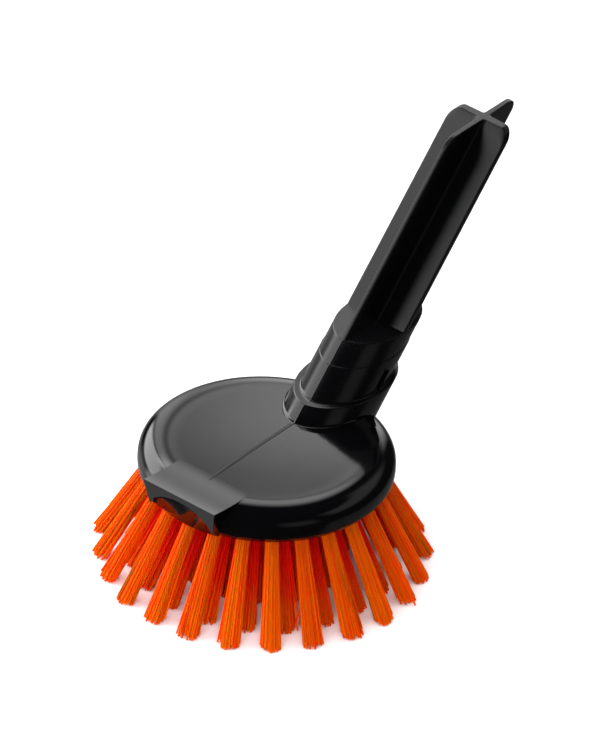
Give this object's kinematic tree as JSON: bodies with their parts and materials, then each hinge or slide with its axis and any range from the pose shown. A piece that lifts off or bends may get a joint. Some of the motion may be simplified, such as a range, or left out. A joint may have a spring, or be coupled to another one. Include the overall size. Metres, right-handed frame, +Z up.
{
  "type": "wheel brush",
  "caption": "Plug-in round brush head: tufted disc with a scraper lip and a leaning cross-ribbed tang that fits into a tube handle.",
  "frame": {"origin": "on the axis of the round head, in the plane of the trimmed filament tips", "axes": "+Z up through the head's top face, -Y towards the scraper lip, +Y the way the tang leans, +X to the right seen from the lip with the head upright"},
  "size_m": [0.0948, 0.1456, 0.1],
  "materials": {
    "black_plastic": "gloss",
    "orange_filament": "satin",
    "anchor_wire": "satin"
  },
  "bodies": {
    "root": {"body": "black_plastic", "tuft_outer_01": "orange_filament", "tuft_outer_02": "orange_filament", "tuft_outer_03": "orange_filament", "tuft_outer_04": "orange_filament", "tuft_outer_05": "orange_filament", "tuft_outer_06": "orange_filament", "tuft_outer_07": "orange_filament", "tuft_outer_08": "orange_filament", "tuft_outer_09": "orange_filament", "tuft_outer_10": "orange_filament", "tuft_outer_11": "orange_filament", "tuft_outer_12": "orange_filament", "tuft_outer_13": "orange_filament", "tuft_outer_14": "orange_filament", "tuft_outer_15": "orange_filament", "tuft_outer_16": "orange_filament", "tuft_outer_17": "orange_filament", "tuft_outer_18": "orange_filament", "tuft_outer_19": "orange_filament", "tuft_outer_20": "orange_filament", "tuft_outer_21": "orange_filament", "tuft_outer_22": "orange_filament", "tuft_outer_23": "orange_filament", "tuft_outer_24": "orange_filament", "tuft_middle_01": "orange_filament", "tuft_middle_02": "orange_filament", "tuft_middle_03": "orange_filament", "tuft_middle_04": "orange_filament", "tuft_middle_05": "orange_filament", "tuft_middle_06": "orange_filament", "tuft_middle_07": "orange_filament", "tuft_middle_08": "orange_filament", "tuft_middle_09": "orange_filament", "tuft_middle_10": "orange_filament", "tuft_middle_11": "orange_filament", "tuft_middle_12": "orange_filament", "tuft_middle_13": "orange_filament", "tuft_middle_14": "orange_filament", "tuft_middle_15": "orange_filament", "tuft_middle_16": "orange_filament", "tuft_middle_17": "orange_filament", "tuft_middle_18": "orange_filament", "tuft_middle_19": "orange_filament", "tuft_middle_20": "orange_filament", "tuft_inner_01": "orange_filament", "tuft_inner_02": "orange_filament", "tuft_inner_03": "orange_filament", "tuft_inner_04": "orange_filament", "tuft_inner_05": "orange_filament", "tuft_inner_06": "orange_filament", "tuft_inner_07": "orange_filament", "tuft_inner_08": "orange_filament", "tuft_inner_09": "orange_filament", "tuft_inner_10": "orange_filament", "tuft_inner_11": "orange_filament", "tuft_inner_12": "orange_filament", "tuft_inner_13": "orange_filament", "tuft_inner_14": "orange_filament", "anchors": "anchor_wire"}
  },
  "joints": []
}
